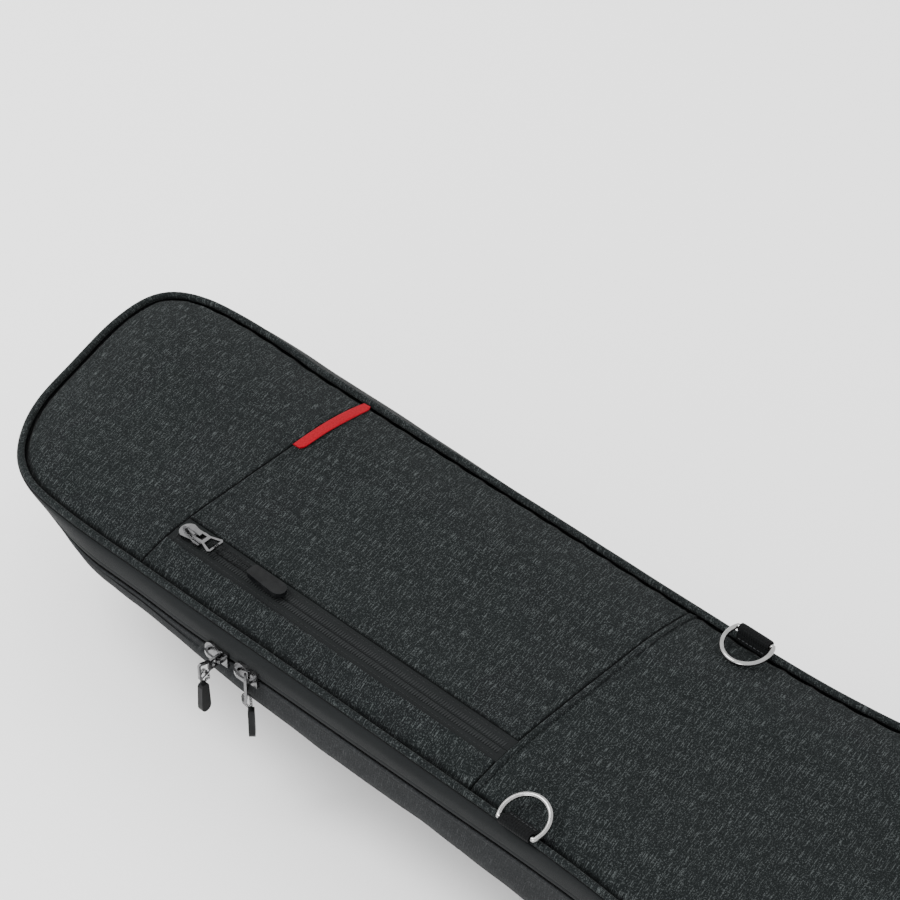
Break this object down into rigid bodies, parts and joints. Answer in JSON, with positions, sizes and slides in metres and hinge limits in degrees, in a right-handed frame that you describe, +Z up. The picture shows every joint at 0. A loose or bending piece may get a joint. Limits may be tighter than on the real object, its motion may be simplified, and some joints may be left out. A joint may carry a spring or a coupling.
{
  "type": "padded instrument gig bag",
  "caption": "Padded bag for a long-necked instrument, lying flat, with a zipped lid, front pockets, handles, D-rings and shoulder straps.",
  "frame": {"origin": "centre of the footprint's bounding box, on the surface that the bag lies on", "axes": "+X from the neck end to the tail, +Y from the zip side to the hinged side, +Z up through the front"},
  "size_m": [1.0991, 0.392, 0.1362],
  "materials": {
    "heather_fabric": "charcoal heather woven polyester",
    "smooth_fabric": "smooth dark woven polyester",
    "zip_tape": "zip tape with a coil",
    "foam": "soft padding",
    "plush": "brushed lining",
    "red_label": "plain red woven tab",
    "webbing": "black ribbed webbing and cord",
    "steel": "satin steel wire",
    "nickel": "dark cast nickel",
    "rubber": "black moulded rubber"
  },
  "bodies": {
    "tray": {"back_panel": "smooth_fabric", "back_foam": "foam", "back_lining": "plush", "tray_gusset": "heather_fabric", "tray_zip": "zip_tape", "hinge_tape": "smooth_fabric", "side_foam": "foam", "side_lining": "plush", "neck_cradle": "foam", "neck_strap": "webbing", "tail_block": "foam", "tail_guard": "rubber", "side_handle": "webbing", "side_handle_grip": "rubber", "grab_handle": "webbing", "grab_handle_grip": "rubber", "shoulder_strap_left": "webbing", "shoulder_strap_right": "webbing", "strap_buckle_left": "rubber", "strap_buckle_right": "rubber", "strap_webbing_left": "webbing", "strap_webbing_right": "webbing"},
    "lid": {"head_panel": "heather_fabric", "neck_panel": "heather_fabric", "neck_panel_edge": "heather_fabric", "body_panel_front": "heather_fabric", "body_panel_rear": "heather_fabric", "front_piping": "heather_fabric", "lid_band": "smooth_fabric", "pocket_zip_inner": "zip_tape", "pocket_zip_outer": "zip_tape", "body_zip_front": "zip_tape", "body_zip_rear": "zip_tape", "lid_zip": "zip_tape", "lid_rim_foam": "foam", "lid_foam": "foam", "pocket_lining": "plush", "lid_lining": "plush", "label_tab": "red_label", "d_ring_near_tab": "webbing", "d_ring_far_tab": "webbing"},
    "d_ring_near": {"d_ring_near": "steel"},
    "d_ring_far": {"d_ring_far": "steel"},
    "pocket_slider": {"pocket_slider": "nickel"},
    "pocket_link": {"pocket_link": "nickel"},
    "pocket_pull": {"pocket_cord": "webbing", "pocket_grip": "rubber"},
    "body_pocket_slider": {"body_pocket_slider": "nickel"},
    "body_pocket_link": {"body_pocket_link": "nickel"},
    "body_pocket_pull": {"body_pocket_cord": "webbing", "body_pocket_grip": "rubber"},
    "main_a_slider": {"main_a_slider": "nickel"},
    "main_a_link": {"main_a_link": "nickel"},
    "main_a_pull": {"main_a_cord": "webbing", "main_a_grip": "rubber"},
    "main_b_slider": {"main_b_slider": "nickel"},
    "main_b_link": {"main_b_link": "nickel"},
    "main_b_pull": {"main_b_cord": "webbing", "main_b_grip": "rubber"}
  },
  "joints": [
    {"name": "lid_hinge", "type": "hinge", "parent": "tray", "child": "lid", "pos_m": [0.3813, 0.197, 0.104], "axis": [-1, 0, 0], "range_deg": [0, 165]},
    {"name": "pocket_zip_travel", "type": "slide", "parent": "lid", "child": "pocket_slider", "axis": [1, 0, 0], "range_m": [0, 0.19]},
    {"name": "pocket_link_swing", "type": "hinge", "parent": "pocket_slider", "child": "pocket_link", "pos_m": [-0.3621, -0.063, 0.13178], "axis": [0, -1, 0], "range_deg": [0, 100]},
    {"name": "pocket_pull_swing", "type": "hinge", "parent": "pocket_link", "child": "pocket_pull", "pos_m": [-0.3463, -0.063, 0.13178], "axis": [0, -1, 0], "range_deg": [0, 70]},
    {"name": "body_pocket_zip_travel", "type": "slide", "parent": "lid", "child": "body_pocket_slider", "axis": [0, 1, 0], "range_m": [0, 0.2]},
    {"name": "body_pocket_link_swing", "type": "hinge", "parent": "body_pocket_slider", "child": "body_pocket_link", "pos_m": [0.1713, -0.0964, 0.13295], "axis": [1, 0, 0], "range_deg": [0, 100]},
    {"name": "body_pocket_pull_swing", "type": "hinge", "parent": "body_pocket_link", "child": "body_pocket_pull", "pos_m": [0.1713, -0.0806, 0.13295], "axis": [1, 0, 0], "range_deg": [0, 70]},
    {"name": "main_a_zip_travel", "type": "slide", "parent": "tray", "child": "main_a_slider", "axis": [-1, 0, 0], "range_m": [0, 0.11]},
    {"name": "main_a_link_swing", "type": "hinge", "parent": "main_a_slider", "child": "main_a_link", "pos_m": [-0.3011, -0.10694, 0.104], "axis": [0, 0, 1], "range_deg": [-47, 10]},
    {"name": "main_a_pull_swing", "type": "hinge", "parent": "main_a_link", "child": "main_a_pull", "pos_m": [-0.3011, -0.11774, 0.09965], "axis": [0, -1, 0], "range_deg": [-8, 45]},
    {"name": "main_b_zip_travel", "type": "slide", "parent": "tray", "child": "main_b_slider", "axis": [1, 0, 0], "range_m": [0, 0.17]},
    {"name": "main_b_link_swing", "type": "hinge", "parent": "main_b_slider", "child": "main_b_link", "pos_m": [-0.2772, -0.10899, 0.10615], "axis": [-1, 0, 0], "range_deg": [0, 5]},
    {"name": "main_b_pull_swing", "type": "hinge", "parent": "main_b_link", "child": "main_b_pull", "pos_m": [-0.2772, -0.10899, 0.09035], "axis": [-0.682, 0.7314, 0], "range_deg": [-8, 24]},
    {"name": "d_ring_near_flip", "type": "hinge", "parent": "lid", "child": "d_ring_near", "pos_m": [-0.0758, -0.1009, 0.1264], "axis": [1, 0, 0], "range_deg": [0, 135]},
    {"name": "d_ring_far_flip", "type": "hinge", "parent": "lid", "child": "d_ring_far", "pos_m": [-0.0712, 0.0963, 0.1305], "axis": [-1, 0, 0], "range_deg": [0, 165]}
  ]
}
